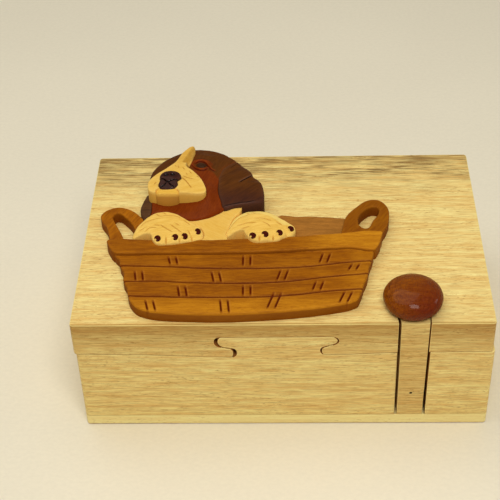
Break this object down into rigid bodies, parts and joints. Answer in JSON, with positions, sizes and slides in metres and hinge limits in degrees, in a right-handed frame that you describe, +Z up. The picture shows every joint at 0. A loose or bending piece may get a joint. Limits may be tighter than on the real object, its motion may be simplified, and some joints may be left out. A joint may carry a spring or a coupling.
{
  "type": "wooden puzzle box",
  "caption": "Rectangular wooden box with a sliding lid held by a sawn tongue and a lift-out key with a knob, and a carved relief of a puppy in a basket on the lid.",
  "frame": {"origin": "centre of the base's underside", "axes": "+X along the box's width, to the right seen from the key side; +Y from the key side to the back; +Z up"},
  "size_m": [0.1849, 0.1232, 0.0802],
  "materials": {
    "box_wood": "satin lacquer over pale fine-grained wood",
    "felt": "matt felt",
    "basket_wood": "satin lacquer over stained wood",
    "inside_wood": "satin lacquer over stained wood",
    "red_wood": "satin lacquer over stained wood",
    "dark_wood": "satin lacquer over dark wood",
    "cream_wood": "satin lacquer over pale wood",
    "nose_wood": "satin lacquer over blackened wood",
    "eye_wood": "satin lacquer over dark wood",
    "claw_wood": "satin lacquer over dark wood",
    "knob_wood": "gloss lacquer over turned wood",
    "brad_steel": "dull steel",
    "dowel_wood": "bare wood"
  },
  "bodies": {
    "base": {"base_block": "box_wood", "bottom_board": "box_wood", "felt_lining": "felt"},
    "lid": {"lid_panel": "box_wood", "basket_body": "basket_wood", "basket_rim": "basket_wood", "basket_handle_left": "basket_wood", "basket_handle_right": "basket_wood", "basket_inside": "inside_wood", "puppy_face": "red_wood", "puppy_brow_left": "dark_wood", "puppy_ear_right": "dark_wood", "puppy_ear_left": "dark_wood", "puppy_muzzle": "cream_wood", "puppy_chin": "cream_wood", "puppy_nose": "nose_wood", "puppy_eye": "eye_wood", "puppy_chest": "cream_wood", "puppy_paw_left": "cream_wood", "puppy_paw_right": "cream_wood", "claws_left": "claw_wood", "claws_right": "claw_wood"},
    "key": {"key_bar": "box_wood", "key_knob": "knob_wood", "key_pin": "brad_steel", "knob_dowel": "dowel_wood"}
  },
  "joints": [
    {"name": "lid_slide", "type": "slide", "parent": "base", "child": "lid", "axis": [0, -1, 0], "range_m": [0, 0.124]},
    {"name": "key_lift", "type": "slide", "parent": "lid", "child": "key", "axis": [0, 0, 1], "range_m": [0, 0.04]}
  ]
}
